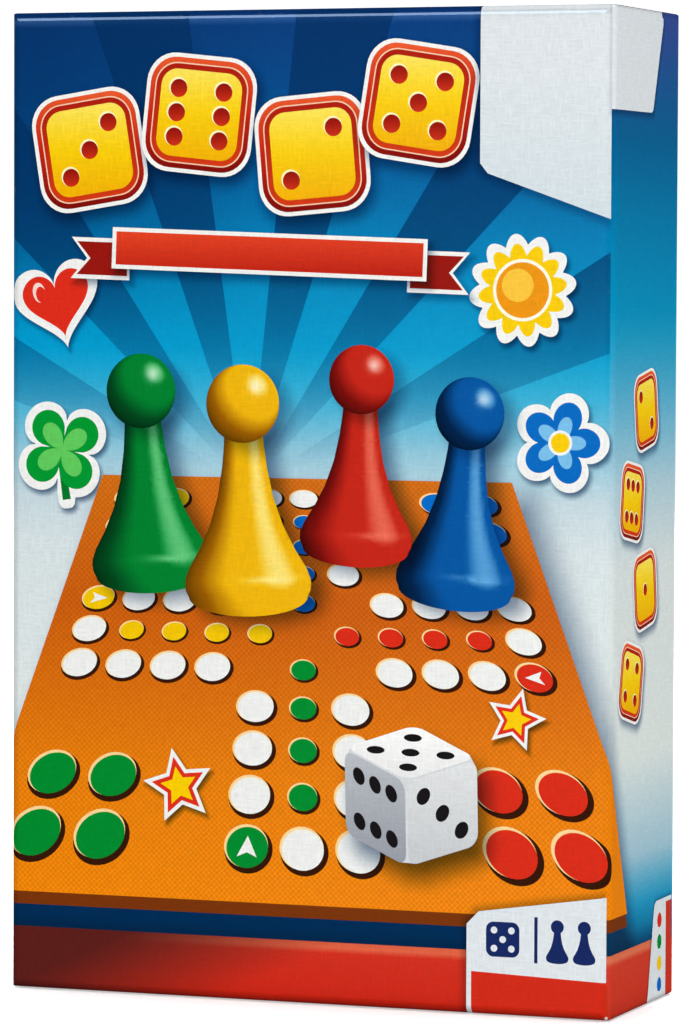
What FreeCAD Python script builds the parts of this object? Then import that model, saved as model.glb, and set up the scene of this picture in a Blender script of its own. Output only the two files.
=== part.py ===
# Travel ludo set: a paper-wrapped box with a lift-off lid, holding a folding board, a rules
# leaflet, sixteen pawns and a die on a folded card inlay.
#
# Frame: +Z up, with the box standing on its lower short wall as on a shop shelf and its front
# towards -Y. The origin is the middle of the standing face. Lengths are in millimetres.
#
# The box is sized from the inside out. Its widest contents, a row of pawns with the die in its
# middle, set the inside width, the board sets the height, and all that lies in it sets the depth.
import FreeCAD, Part
import math
import os

# Folding board: two laminated leaves, hinged on the crease of their playing sheet
BOARD_SIDE = 190.0
LEAF_CORE = 2.0
PLAY_SHEET = 0.25
BACK_LINING = 0.2
FOLD_GAP = 0.1
CORE_SETBACK = 0.35
CREASE_CLEARANCE = 0.05

# Rules leaflet: one sheet folded once
LEAFLET_WIDTH = 105.0
LEAFLET_HEIGHT = 148.0
LEAFLET_PAPER = 0.2
LEAFLET_FOLD_GAP = 0.2

# Pawns: moulded, hollow underneath, with a ball head; turned shapes are cut into flat sides
PAWN_COLOURS = ("yellow", "red", "blue", "green")
PAWNS_PER_COLOUR = 4
PAWN_ROWS = 2
PAWN_SIDES = 16
PAWN_HEIGHT = 24.0
PAWN_DIAMETER = 12.0
PAWN_FOOT_BEVEL = 0.8
PAWN_FOOT_RING = 1.0
PAWN_SHOULDER_DIAMETER = 9.4
PAWN_SHOULDER_HEIGHT = 4.6
PAWN_SHOULDER_SWELL = 0.6
PAWN_NECK_DIAMETER = 4.2
PAWN_FLARE_POWER = 2.2
PAWN_FLARE_STEPS = 4
PAWN_HEAD_DIAMETER = 7.4
PAWN_HEAD_STEPS = 5
PAWN_HOLLOW_HEIGHT = 6.0
PAWN_HOLLOW_TOP_DIAMETER = 3.0
PAWN_GAP = 0.9
PAWN_ROW_GAP = 3.2

# Die: a rounded cube with dished pips, opposite faces adding up to seven
DIE_SIZE = 14.0
DIE_EDGE_RADIUS = 1.6
DIE_GAP = 1.7
PIP_SIDES = 8
PIP_DIAMETER = 2.6
PIP_FLOOR_DIAMETER = 1.4
PIP_DEPTH = 0.45
PIP_SPREAD = 3.5

# Card inlay: one strip folded to a hat, with a trough between two shoulders
CARD = 0.7
CARD_BEND_RADIUS = 0.5
SHOULDER_LENGTH = 42.0
INLAY_CLEARANCE = 0.3
SLIP = 0.3

# Box: greyboard trays, each wrapped in one printed sheet that turns in over the rim
GREYBOARD = 1.5
WRAP = 0.2
TURN_IN = 14.0
EDGE_RADIUS = 1.8
CORNER_RADIUS = 0.5
SIDE_ROOM = 1.0
HEADROOM = 1.6
LID_FIT = 0.4
LID_HEADROOM = 0.4
BACK_REVEAL = 1.0

# How close two coordinates have to be to count as one
NEAR = 1e-6

# Sizes that follow from those above
leaf_width = BOARD_SIDE / 2
crease_radius = FOLD_GAP / 2 + PLAY_SHEET
leaf_thickness = LEAF_CORE + PLAY_SHEET + BACK_LINING
board_thickness = 2 * leaf_thickness + FOLD_GAP
leaflet_thickness = 2 * LEAFLET_PAPER + LEAFLET_FOLD_GAP

pawn_columns = len(PAWN_COLOURS) * PAWNS_PER_COLOUR // PAWN_ROWS
pawn_pitch = PAWN_DIAMETER + PAWN_GAP
row_pitch = PAWN_DIAMETER + PAWN_ROW_GAP
die_bay = DIE_SIZE + 2 * DIE_GAP
row_width = pawn_columns * pawn_pitch + die_bay
trough_depth = PAWN_ROWS * row_pitch + PAWN_ROW_GAP

wall = GREYBOARD + WRAP
rim_wall = wall + WRAP
inside_width = max(row_width, max(leaf_width, LEAFLET_WIDTH) + 2 * SIDE_ROOM)
inside_height = max(BOARD_SIDE, LEAFLET_HEIGHT) + HEADROOM
inlay_depth = trough_depth + CARD
inside_depth = inlay_depth + SLIP + leaflet_thickness + SLIP + board_thickness

base_width = inside_width + 2 * rim_wall
base_height = inside_height + 2 * rim_wall
base_depth = inside_depth + wall
lid_width = base_width + 2 * (LID_FIT + rim_wall)
lid_height = base_height + 2 * (LID_FIT + rim_wall)
box_depth = wall + LID_HEADROOM + base_depth
lid_depth = box_depth - BACK_REVEAL

# Planes across the depth, from the front of the box to its back
front_face = -box_depth / 2
back_face = box_depth / 2
base_rim = back_face - base_depth
fold_plane = base_rim + board_thickness / 2
fold_line = -leaf_width / 2
leaflet_front = base_rim + board_thickness + SLIP
base_floor = back_face - wall
shoulder_face = base_floor - inlay_depth
trough_floor = base_floor - CARD

# Heights, from the standing face up
base_bottom = rim_wall + LID_FIT
inside_bottom = base_bottom + rim_wall
inside_top = inside_bottom + inside_height
shelf = inside_bottom + INLAY_CLEARANCE + SHOULDER_LENGTH
trough_top = inside_top - INLAY_CLEARANCE - SHOULDER_LENGTH


def vector(x, y, z):
    return FreeCAD.Vector(x, y, z)


def slab(x, y, z):
    """A block between the two ends given for each axis."""
    corner = vector(min(x), min(y), min(z))
    return Part.makeBox(max(x) - min(x), max(y) - min(y), max(z) - min(z), corner)


def tray_outside(width, height, y, inset):
    """A solid tray block with its panel at the low end of y: what three blocks share.

    One has the panel's upright edges rounded, one its level edges, and one the corners of the walls.
    So the panel's edges meet in a mitre, as folded board does.
    """
    half = width / 2 - inset
    block = slab((-half, half), y, (inset, height - inset))
    panel = min(y)

    def rounded(radius, chosen):
        return block.makeFillet(radius - inset, [edge for edge in block.Edges if chosen(edge.BoundBox)])

    upright = rounded(EDGE_RADIUS, lambda box: box.ZLength > NEAR and abs(box.YMax - panel) < NEAR)
    level = rounded(EDGE_RADIUS, lambda box: box.XLength > NEAR and abs(box.YMax - panel) < NEAR)
    corners = rounded(CORNER_RADIUS, lambda box: box.YLength > NEAR)
    return upright.common(level).common(corners)


def wrapped_tray(width, height, depth):
    """A greyboard tray and the sheet glued round it, with the panel at y = 0 and the rim towards +Y.

    The sheet covers the panel and the walls, goes over the rim and turns in along the inside.
    """
    covered = tray_outside(width, height, (0, depth), 0)
    bare = tray_outside(width, height, (WRAP, depth - WRAP), WRAP)
    turn_in_end = depth - WRAP - TURN_IN

    def hollow(inset, y):
        half = width / 2 - inset
        return slab((-half, half), y, (inset, height - inset))

    tray = bare.cut(hollow(wall, (wall, depth)))
    wrap = covered.cut([tray, hollow(wall, (wall, turn_in_end)), hollow(rim_wall, (turn_in_end, depth))])
    return tray, wrap


def make_lid():
    tray, wrap = wrapped_tray(lid_width, lid_height, lid_depth)
    place = vector(0, front_face, 0)
    return {"lid_tray": tray.translated(place), "lid_wrap": wrap.translated(place)}


def make_base():
    """The base is the same kind of tray turned round, so that its panel is the back of the box."""
    tray, wrap = wrapped_tray(base_width, base_height, base_depth)
    place = vector(0, back_face, base_bottom)
    for piece in (tray, wrap):
        piece.rotate(vector(0, 0, 0), vector(0, 0, 1), 180)
    return {"base_tray": tray.translated(place), "base_wrap": wrap.translated(place)}


def line_to(edges, start, end):
    if start.distanceToPoint(end) > NEAR:
        edges.append(Part.LineSegment(start, end).toShape())


def beside(points, distance):
    """The run of points moved to its left by a distance, mitred at its corners."""
    ways = [(after - before).normalize() for before, after in zip(points, points[1:])]
    lefts = [vector(-way.y, way.x, 0) for way in ways]
    moved = [points[0] + lefts[0] * distance]
    for corner, before, after in zip(points[1:], lefts, lefts[1:]):
        moved.append(corner + (before + after) * (distance / (1 + before.dot(after))))
    return moved + [points[-1] + lefts[-1] * distance]


def rounded_run(points, radius_at):
    """Edges along a run of points, each corner rounded to the radius given for its turn."""
    edges = []
    reached = points[0]
    for before, corner, after in zip(points, points[1:], points[2:]):
        way_in = (corner - before).normalize()
        way_out = (after - corner).normalize()
        turn = math.atan2(way_in.x * way_out.y - way_in.y * way_out.x, way_in.dot(way_out))
        radius = radius_at(turn)
        reach = radius * math.tan(abs(turn) / 2)
        start = corner - way_in * reach
        end = corner + way_out * reach
        inwards = (way_out - way_in).normalize()
        crown = corner + inwards * (math.hypot(reach, radius) - radius)
        line_to(edges, reached, start)
        edges.append(Part.Arc(start, crown, end).toShape())
        reached = end
    line_to(edges, reached, points[-1])
    return edges


def folded_strip(run, thickness, bend_radius):
    """The section, in the XY plane, of a strip whose middle follows a run of corners.

    The bend radius is that of the inside of each fold.
    """
    middle = [vector(x, y, 0) for x, y in run]
    half = thickness / 2

    def radius_at(turn):
        return bend_radius + half - math.copysign(half, turn)

    there = beside(middle, half)
    back = beside(middle, -half)[::-1]
    edges = rounded_run(there, radius_at)
    line_to(edges, there[-1], back[0])
    edges += rounded_run(back, radius_at)
    line_to(edges, back[-1], there[0])
    return Part.Face(Part.Wire(edges))


def make_inlay():
    """The card runs up the lower wall, over a shoulder, round the trough, and back the same way."""
    half = CARD / 2
    shoulder = shoulder_face + half
    floor = trough_floor + half
    low_end = inside_bottom + INLAY_CLEARANCE + half
    high_end = inside_top - INLAY_CLEARANCE - half
    run = [
        (base_floor, low_end),
        (shoulder, low_end),
        (shoulder, shelf - half),
        (floor, shelf - half),
        (floor, trough_top + half),
        (shoulder, trough_top + half),
        (shoulder, high_end),
        (base_floor, high_end),
    ]
    section = folded_strip(run, CARD, CARD_BEND_RADIUS)
    section.rotate(vector(0, 0, 0), vector(1, 1, 1), 120)
    width = inside_width - 2 * INLAY_CLEARANCE
    return {"card_inlay": section.extrude(vector(width, 0, 0)).translated(vector(-width / 2, 0, 0))}


def make_board():
    """The board folded shut on its playing faces, the fold a paper bead along its left edge."""
    z = (inside_bottom, inside_bottom + BOARD_SIDE)
    edge = fold_line + leaf_width
    bottom = vector(fold_line, fold_plane, inside_bottom)
    along = vector(0, 0, 1)
    crease = Part.makeCylinder(crease_radius, BOARD_SIDE, bottom, along)
    crease_room = Part.makeCylinder(crease_radius + CREASE_CLEARANCE, BOARD_SIDE, bottom, along)
    pieces = {"board_crease": crease}
    for leaf, side in (("back_leaf", 1), ("front_leaf", -1)):
        layers = [FOLD_GAP / 2, PLAY_SHEET, LEAF_CORE, BACK_LINING]
        faces = [fold_plane + side * sum(layers[: count + 1]) for count in range(len(layers))]
        sheet = slab((fold_line, edge), faces[0:2], z)
        pieces[leaf + "_play_sheet"] = sheet.cut(crease_room)
        pieces[leaf + "_core"] = slab((fold_line + CORE_SETBACK, edge), faces[1:3], z)
        pieces[leaf + "_lining"] = slab((fold_line + CORE_SETBACK, edge), faces[2:4], z)
    return pieces


def make_leaflet():
    """The leaflet stands behind the board on its short side, folded along its left edge."""
    half_width = LEAFLET_WIDTH / 2
    front_panel = leaflet_front + LEAFLET_PAPER / 2
    back_panel = leaflet_front + leaflet_thickness - LEAFLET_PAPER / 2
    fold = LEAFLET_PAPER / 2 - half_width
    run = [(half_width, front_panel), (fold, front_panel), (fold, back_panel), (half_width, back_panel)]
    section = folded_strip(run, LEAFLET_PAPER, LEAFLET_FOLD_GAP / 2)
    sheet = section.extrude(vector(0, 0, LEAFLET_HEIGHT))
    return {"rules_leaflet": sheet.translated(vector(0, 0, inside_bottom))}


def turned(outline, sides):
    """A turned solid in flat sides; its outline of (radius, height) starts and ends on the axis."""
    step = 2 * math.pi / sides
    turns = [vector(math.cos(step * side), math.sin(step * side), 0) for side in range(sides)]
    rings = [[turn * radius + vector(0, 0, height) for turn in turns] for radius, height in outline]
    faces = []
    for ring, following in zip(rings, rings[1:]):
        for side in range(sides):
            corners = [ring[side - 1], ring[side], following[side], following[side - 1]]
            before = [corners[at - 1] for at in range(len(corners))]
            apart = [point for point, last in zip(corners, before) if point.distanceToPoint(last) > NEAR]
            faces.append(Part.Face(Part.makePolygon(apart + apart[:1])))
    return Part.Solid(Part.Shell(faces)).removeSplitter()


def pawn():
    """One pawn on the origin: a hollow foot, a swelling shoulder, a flared waist and a ball head."""
    foot = PAWN_DIAMETER / 2
    foot_ring = foot - PAWN_FOOT_BEVEL
    shoulder = PAWN_SHOULDER_DIAMETER / 2
    neck = PAWN_NECK_DIAMETER / 2
    head = PAWN_HEAD_DIAMETER / 2
    head_middle = PAWN_HEIGHT - head
    neck_angle = -math.acos(neck / head)
    neck_height = head_middle + head * math.sin(neck_angle)

    inwards = foot - shoulder
    upwards = PAWN_SHOULDER_HEIGHT - PAWN_FOOT_BEVEL
    swell = PAWN_SHOULDER_SWELL / math.hypot(inwards, upwards)
    outline = [
        (0, PAWN_HOLLOW_HEIGHT),
        (PAWN_HOLLOW_TOP_DIAMETER / 2, PAWN_HOLLOW_HEIGHT),
        (foot_ring - PAWN_FOOT_RING, 0),
        (foot_ring, 0),
        (foot, PAWN_FOOT_BEVEL),
        ((foot + shoulder) / 2 + upwards * swell, PAWN_FOOT_BEVEL + upwards / 2 + inwards * swell),
    ]
    for step in range(PAWN_FLARE_STEPS):
        way = step / PAWN_FLARE_STEPS
        radius = neck + (shoulder - neck) * (1 - way) ** PAWN_FLARE_POWER
        outline.append((radius, PAWN_SHOULDER_HEIGHT + (neck_height - PAWN_SHOULDER_HEIGHT) * way))
    for step in range(PAWN_HEAD_STEPS):
        angle = neck_angle + (math.pi / 2 - neck_angle) * step / PAWN_HEAD_STEPS
        outline.append((head * math.cos(angle), head_middle + head * math.sin(angle)))
    return turned(outline + [(0, PAWN_HEIGHT)], PAWN_SIDES)


def pawn_place(column, row):
    """Where a pawn stands on the shelf; the die's bay parts the left columns from the right ones."""
    bay = die_bay if column >= pawn_columns // 2 else 0
    x = -row_width / 2 + (column + 1 / 2) * pawn_pitch + bay
    y = trough_floor - PAWN_ROW_GAP - PAWN_DIAMETER / 2 - row * row_pitch
    return vector(x, y, shelf)


def make_pawns():
    """Each colour takes neighbouring columns, filled from the back row to the front one."""
    model = pawn()
    pieces = {}
    for place in range(len(PAWN_COLOURS) * PAWNS_PER_COLOUR):
        colour, number = divmod(place, PAWNS_PER_COLOUR)
        column, row = divmod(place, PAWN_ROWS)
        name = f"pawn_{PAWN_COLOURS[colour]}_{number + 1}"
        pieces[name] = model.translated(pawn_place(column, row))
    return pieces


def pip_dish():
    """The cutter for one pip, opening upwards at the origin."""
    rim = PIP_DIAMETER / 2
    floor = PIP_FLOOR_DIAMETER / 2
    outline = [(0, -PIP_DEPTH), (floor, -PIP_DEPTH), (rim, 0), (rim, PIP_DEPTH), (0, PIP_DEPTH)]
    return turned(outline, PIP_SIDES)


def make_die():
    """The die stands on the shelf in its bay, midway across the trough."""
    half = DIE_SIZE / 2
    cube = slab((-half, half), (-half, half), (-half, half))
    cube = cube.makeFillet(DIE_EDGE_RADIUS, cube.Edges)
    diagonal = [(-1, -1), (1, 1)]
    corners = diagonal + [(-1, 1), (1, -1)]
    patterns = {
        1: [(0, 0)],
        2: diagonal,
        3: diagonal + [(0, 0)],
        4: corners,
        5: corners + [(0, 0)],
        6: corners + [(-1, 0), (1, 0)],
    }
    x, y, z = vector(1, 0, 0), vector(0, 1, 0), vector(0, 0, 1)
    faces = {1: (z, x, y), 6: (-z, x, y), 2: (x, y, z), 5: (-x, y, z), 3: (y, z, x), 4: (-y, z, x)}
    dish = pip_dish()
    cutters = []
    for number, (out, across, up) in faces.items():
        facing = FreeCAD.Rotation(z, out)
        for a, b in patterns[number]:
            middle = out * half + (across * a + up * b) * PIP_SPREAD
            cutters.append(dish.transformed(FreeCAD.Placement(middle, facing).toMatrix()))
    place = vector(0, trough_floor - trough_depth / 2, shelf + half)
    return {"die": cube.cut(cutters).translated(place)}


if __name__ == "__main__":
    os.makedirs("parts", exist_ok=True)
    for make in (make_lid, make_base, make_inlay, make_board, make_leaflet, make_pawns, make_die):
        for name, shape in make().items():
            shape.exportStep(f"parts/{name}.step")
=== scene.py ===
import math

import bmesh
import bpy
import numpy as np
from mathutils import Matrix, Vector
from mathutils.geometry import convex_hull_2d, delaunay_2d_cdt


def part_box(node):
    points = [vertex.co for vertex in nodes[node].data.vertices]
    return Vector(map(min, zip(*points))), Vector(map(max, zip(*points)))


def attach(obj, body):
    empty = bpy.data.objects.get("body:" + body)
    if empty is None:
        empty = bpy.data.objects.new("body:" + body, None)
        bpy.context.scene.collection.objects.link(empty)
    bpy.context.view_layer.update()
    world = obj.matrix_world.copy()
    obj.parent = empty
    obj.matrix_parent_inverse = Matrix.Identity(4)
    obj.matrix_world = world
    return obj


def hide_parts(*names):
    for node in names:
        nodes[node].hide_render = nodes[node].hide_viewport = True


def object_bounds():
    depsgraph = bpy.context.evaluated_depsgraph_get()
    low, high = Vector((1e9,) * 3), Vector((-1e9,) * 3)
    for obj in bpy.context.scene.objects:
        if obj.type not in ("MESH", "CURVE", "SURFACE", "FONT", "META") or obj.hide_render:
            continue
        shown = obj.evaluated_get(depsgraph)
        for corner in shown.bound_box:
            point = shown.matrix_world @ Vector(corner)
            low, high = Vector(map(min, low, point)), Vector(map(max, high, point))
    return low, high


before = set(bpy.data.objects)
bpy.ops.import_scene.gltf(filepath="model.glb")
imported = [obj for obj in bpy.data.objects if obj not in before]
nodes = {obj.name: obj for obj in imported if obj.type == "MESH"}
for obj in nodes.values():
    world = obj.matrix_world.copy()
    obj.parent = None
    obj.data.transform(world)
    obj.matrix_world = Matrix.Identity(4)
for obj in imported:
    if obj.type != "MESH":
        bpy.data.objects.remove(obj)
cad_low, cad_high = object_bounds()

# Base tray: grey board pulped from waste paper, die-cut, folded up and taped at its four corners.
# The fibres leave it mottled grey-brown with darker flecks, and its cut rim shows the same grey.


def linear(colours):
    """Scene-linear values of screen colours from 0 to 255."""
    share = np.clip(np.asarray(colours, float), 0, 255) / 255
    return np.where(share > 0.04045, ((share + 0.055) / 1.055) ** 2.4, share / 12.92)


def ink(red, green, blue):
    return (*(float(c) for c in linear((red, green, blue))), 1.0)


class Recipe:
    """A material put together from nodes on a principled surface."""

    def __init__(self, name, surface):
        self.material = bpy.data.materials.new(name)
        self.material.use_nodes = True
        self.tree = self.material.node_tree
        self.surface = self.tree.nodes["Principled BSDF"]
        self.feed(self.surface, surface)
        self.place = self.add("TexCoord").outputs["Object"]

    def feed(self, node, values):
        for socket, value in values.items():
            if isinstance(value, bpy.types.NodeSocket):
                self.tree.links.new(value, node.inputs[socket])
            else:
                node.inputs[socket].default_value = value

    def add(self, kind, values=None, **settings):
        node = self.tree.nodes.new("ShaderNode" + kind)
        for setting, value in settings.items():
            setattr(node, setting, value)
        self.feed(node, values or {})
        return node

    def noise(self, scale, detail, place=None, stretch=None):
        where = place or self.place
        if stretch:
            where = self.add("Mapping", {"Vector": where, "Scale": stretch}).outputs[0]
        values = {"Vector": where, "Scale": scale, "Detail": detail, "Roughness": 0.6}
        return self.add("TexNoise", values).outputs["Fac"]

    def ramp(self, factor, stops):
        node = self.add("ValToRGB", {"Fac": factor})
        elements = node.color_ramp.elements
        while len(elements) < len(stops):
            elements.new(1.0)
        for element, (place, colour) in zip(elements, stops):
            element.position = place
            element.color = ink(*colour)
        return node.outputs["Color"]

    def mix(self, factor, a, b, blend="MIX"):
        values = {0: factor, 6: a, 7: b}
        return self.add("Mix", values, data_type="RGBA", blend_type=blend).outputs[2]

    def sums(self, operation, *values):
        return self.add("Math", dict(enumerate(values)), operation=operation).outputs[0]

    def range(self, value, low, high):
        return self.add("MapRange", {0: value, 3: low, 4: high}).outputs[0]

    def bump(self, height, strength, depth):
        values = {"Height": height, "Strength": strength, "Distance": depth}
        return self.add("Bump", values).outputs[0]

    def finish(self, **values):
        named = {key.replace("_", " ").title(): value for key, value in values.items()}
        self.feed(self.surface, named)
        return self.material


def dress(obj, material, smooth=False):
    obj.data.materials.clear()
    obj.data.materials.append(material)
    if smooth:
        obj.data.polygons.foreach_set("use_smooth", [True] * len(obj.data.polygons))


board = Recipe("greyboard", {"Roughness": 0.9, "Specular IOR Level": 0.2})
fibres = board.noise(650, 8)
flecks = board.ramp(board.noise(2400, 2), [(0.62, (0, 0, 0)), (0.7, (255, 255, 255))])
pulp = board.ramp(fibres, [(0.3, (124, 116, 105)), (0.7, (168, 160, 149))])
pulp = board.mix(flecks, pulp, ink(92, 84, 76))
greyboard = board.finish(base_color=pulp, normal=board.bump(fibres, 0.35, 0.0002))
dress(nodes["base_tray"], greyboard)

# Base wrap: one printed sheet glued over the base tray and turned in over its rim. Its panel is the
# back of the box, and nothing but the fading ground is printed there. The paper is linen-embossed.
GROUND = [
    (0, (176, 34, 20)),
    (3, (205, 42, 22)),
    (12.5, (214, 48, 28)),
    (12.7, (0, 78, 128)),
    (16, (0, 98, 156)),
    (23, (2, 122, 178)),
    (32, (84, 162, 198)),
    (44, (186, 211, 222)),
    (60, (222, 230, 229)),
    (92, (214, 225, 227)),
    (102, (196, 215, 222)),
    (112, (140, 196, 216)),
    (122, (60, 175, 212)),
    (132, (0, 155, 205)),
    (143, (0, 142, 194)),
    (155, (0, 124, 180)),
    (170, (2, 92, 156)),
    (185, (4, 72, 136)),
    # The last two stops darken the ground over the rounded top edge: painted shade.
    (198.4, (8, 60, 124)),
    (199.4, (6, 46, 102)),
]
MM = 0.001
BOX_HEIGHT = cad_high.z / MM
THREAD_PITCH = 0.5
THREAD_STRETCH = 0.16
THREAD_TONES = (0.76, 1.18)


def linen(recipe, place, pitch, along=(1, 1, THREAD_STRETCH)):
    """Height of a linen emboss: long irregular threads both ways; pitch in the units of place."""
    weft = recipe.noise(1 / pitch, 2, place, (THREAD_STRETCH, 1, 1))
    warp = recipe.noise(1 / pitch, 2, place, along)
    return recipe.sums("MAXIMUM", weft, warp)


def faded_wrap(name, stops):
    """The wrap where only its fading ground shows, by height on the box."""
    wrap = Recipe(name, {"Specular IOR Level": 0.25})
    height = wrap.add("SeparateXYZ", {"Vector": wrap.place}).outputs["Z"]
    share = wrap.sums("DIVIDE", height, BOX_HEIGHT * MM)
    ground = wrap.ramp(share, [(stop / BOX_HEIGHT, colour) for stop, colour in stops])
    threads = linen(wrap, wrap.place, THREAD_PITCH * MM)
    grain = wrap.range(wrap.noise(5000, 3), 0.94, 1.06)
    tone = wrap.sums("MULTIPLY", grain, wrap.range(threads, *THREAD_TONES))
    tone = wrap.add("CombineColor", dict.fromkeys(range(3), tone)).outputs[0]
    ground = wrap.mix(1.0, ground, tone, "MULTIPLY")
    rough = wrap.range(threads, 0.3, 0.5)
    return wrap.finish(base_color=ground, roughness=rough, normal=wrap.bump(threads, 0.25, 0.00004))


dress(nodes["base_wrap"], faded_wrap("base_print", GROUND))

# Card inlay: a strip of white-lined carton, creased and folded to a hat that lies loose in the base.
# The coated side is smooth and white, with faint waves from the board under it.
card = Recipe("inlay_card", {"Roughness": 0.6, "Specular IOR Level": 0.3})
waves = card.noise(90, 3)
white = card.ramp(waves, [(0.35, (228, 227, 221)), (0.65, (240, 239, 235))])
inlay_card = card.finish(base_color=white, normal=card.bump(card.noise(1500, 5), 0.1, 0.0001))
dress(nodes["card_inlay"], inlay_card)

# Pawns: sixteen, moulded of polystyrene in two half moulds that meet in a fine upright seam.
# The foot is hollow, the waist flares up to a narrow neck and the head is a ball.
PAWN_HEIGHT = 24.0
PAWN_FOOT = 6.0
PAWN_SHOULDER = (4.7, 4.6)
PAWN_NECK = 2.1
PAWN_HEAD = 3.7
PAWN_TONES = {
    "yellow": ((234, 176, 4), (246, 194, 8)),
    "red": ((190, 28, 14), (210, 36, 18)),
    "blue": ((0, 72, 144), (0, 86, 164)),
    "green": ((0, 116, 42), (0, 134, 50)),
}
PAWN_HOLLOW = [(0, 6), (1.1, 6), (1.5, 5.6), (4.1, 0.25)]
PAWN_SOLE = [(4.3, 0), (5.1, 0), (5.6, 0.25), (PAWN_FOOT, 0.85)]
PAWN_SWELL = (6.28, 3.1)
SEAM = 0.05
SEAM_TURNS = (-0.03, -0.012, 0, 0.012, 0.03)
SEAM_CLEAR = 0.15


def pawn_outline():
    """Radius and height along the pawn, from the middle of its hollow up to the top of its head."""
    run = PAWN_HOLLOW + PAWN_SOLE
    start, swell, end = np.array([(PAWN_FOOT, 0.8), PAWN_SWELL, PAWN_SHOULDER])
    for t in np.linspace(0.12, 1, 8):
        run.append(tuple((1 - t) ** 2 * start + 2 * t * (1 - t) * swell + t * t * end))
    middle = PAWN_HEIGHT - PAWN_HEAD
    neck_angle = -math.acos(PAWN_NECK / PAWN_HEAD)
    neck_height = middle + PAWN_HEAD * math.sin(neck_angle)
    for t in np.linspace(0.08, 0.97, 14):
        radius = PAWN_NECK + (PAWN_SHOULDER[0] - PAWN_NECK) * (1 - t) ** 2.2
        run.append((radius, PAWN_SHOULDER[1] + (neck_height - PAWN_SHOULDER[1]) * t))
    for angle in np.linspace(neck_angle + 0.06, math.pi / 2, 18):
        run.append((PAWN_HEAD * math.cos(angle), middle + PAWN_HEAD * math.sin(angle)))
    return run


def new_mesh(name, points, faces):
    mesh = bpy.data.meshes.new(name)
    mesh.from_pydata([tuple(p) for p in points], [], [list(f) for f in faces])
    mesh.update()
    return mesh


def new_piece(name, mesh, body, material, place=None):
    piece = bpy.data.objects.new(name, mesh)
    bpy.context.scene.collection.objects.link(piece)
    if place is not None:
        piece.location = place
    dress(piece, material, smooth=True)
    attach(piece, body)
    return piece


def ring_faces(rings, count):
    """Four-sided faces between rings of points that follow each other."""
    faces = []
    for first in range(0, (rings - 1) * count, count):
        for side in range(count):
            after = (side + 1) % count
            faces.append((first + side, first + after, first + count + after, first + count + side))
    return faces


def weld(mesh):
    shape = bmesh.new()
    shape.from_mesh(mesh)
    bmesh.ops.remove_doubles(shape, verts=shape.verts, dist=1e-7)
    bmesh.ops.recalc_face_normals(shape, faces=shape.faces)
    shape.to_mesh(mesh)
    shape.free()


def pawn_mesh(name):
    """The outline turned about the pawn's axis, with a fine raised seam on two sides."""
    outline = pawn_outline()
    turns = []
    for half in (0, math.pi):
        turns += [half + step for step in SEAM_TURNS]
        turns += list(np.linspace(half + SEAM_CLEAR, half + math.pi - SEAM_CLEAR, 20))
    points = []
    for radius, height in outline:
        for turn in turns:
            on_seam = abs(math.sin(turn)) < 0.005 and radius > PAWN_NECK - 0.2
            reach = (radius + SEAM * on_seam) * MM
            points.append((reach * math.cos(turn), reach * math.sin(turn), height * MM))
    mesh = new_mesh(name, points, ring_faces(len(outline), len(turns)))
    weld(mesh)
    return mesh


for colour, (deep, bright) in PAWN_TONES.items():
    translucent = {"Subsurface Weight": 0.06, "Subsurface Scale": 0.001}
    plastic = Recipe("pawn_" + colour, {"IOR": 1.55, **translucent})
    swirl = plastic.ramp(plastic.noise(120, 2), [(0.3, deep), (0.7, bright)])
    rough = plastic.range(plastic.noise(500, 3), 0.14, 0.26)
    orange_peel = plastic.bump(plastic.noise(1600, 1), 0.02, 0.0001)
    moulded = plastic.finish(base_color=swirl, roughness=rough, normal=orange_peel)
    shared = pawn_mesh("pawn_" + colour)
    for number in range(1, 5):
        node = f"pawn_{colour}_{number}"
        low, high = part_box(node)
        place = ((low.x + high.x) / 2, (low.y + high.y) / 2, low.z)
        pawn = new_piece(f"{node}_smooth", shared, node, moulded, place)
        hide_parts(node)
        dress(nodes[node], moulded)

# Die: a cube of white melamine with rounded edges, tumbled after moulding. Its dished pips are filled
# with black paint, and those of opposite faces add up to seven.
DIE_HALF = 7.0
DIE_ROUND = 1.6
PIP_RADIUS = 1.3
PIP_DEPTH = 0.45
PIP_SPREAD = 3.5
DIAGONAL = [(-1, -1), (1, 1)]
CORNERS = DIAGONAL + [(-1, 1), (1, -1)]
PIPS = {
    1: [(0, 0)],
    2: DIAGONAL,
    3: DIAGONAL + [(0, 0)],
    4: CORNERS,
    5: CORNERS + [(0, 0)],
    6: CORNERS + [(-1, 0), (1, 0)],
}
X, Y, Z = np.eye(3)
DIE_FACES = {1: (Z, X, Y), 6: (-Z, X, Y), 2: (X, Y, Z), 5: (-X, Y, Z), 3: (Y, Z, X), 4: (-Y, Z, X)}


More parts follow.
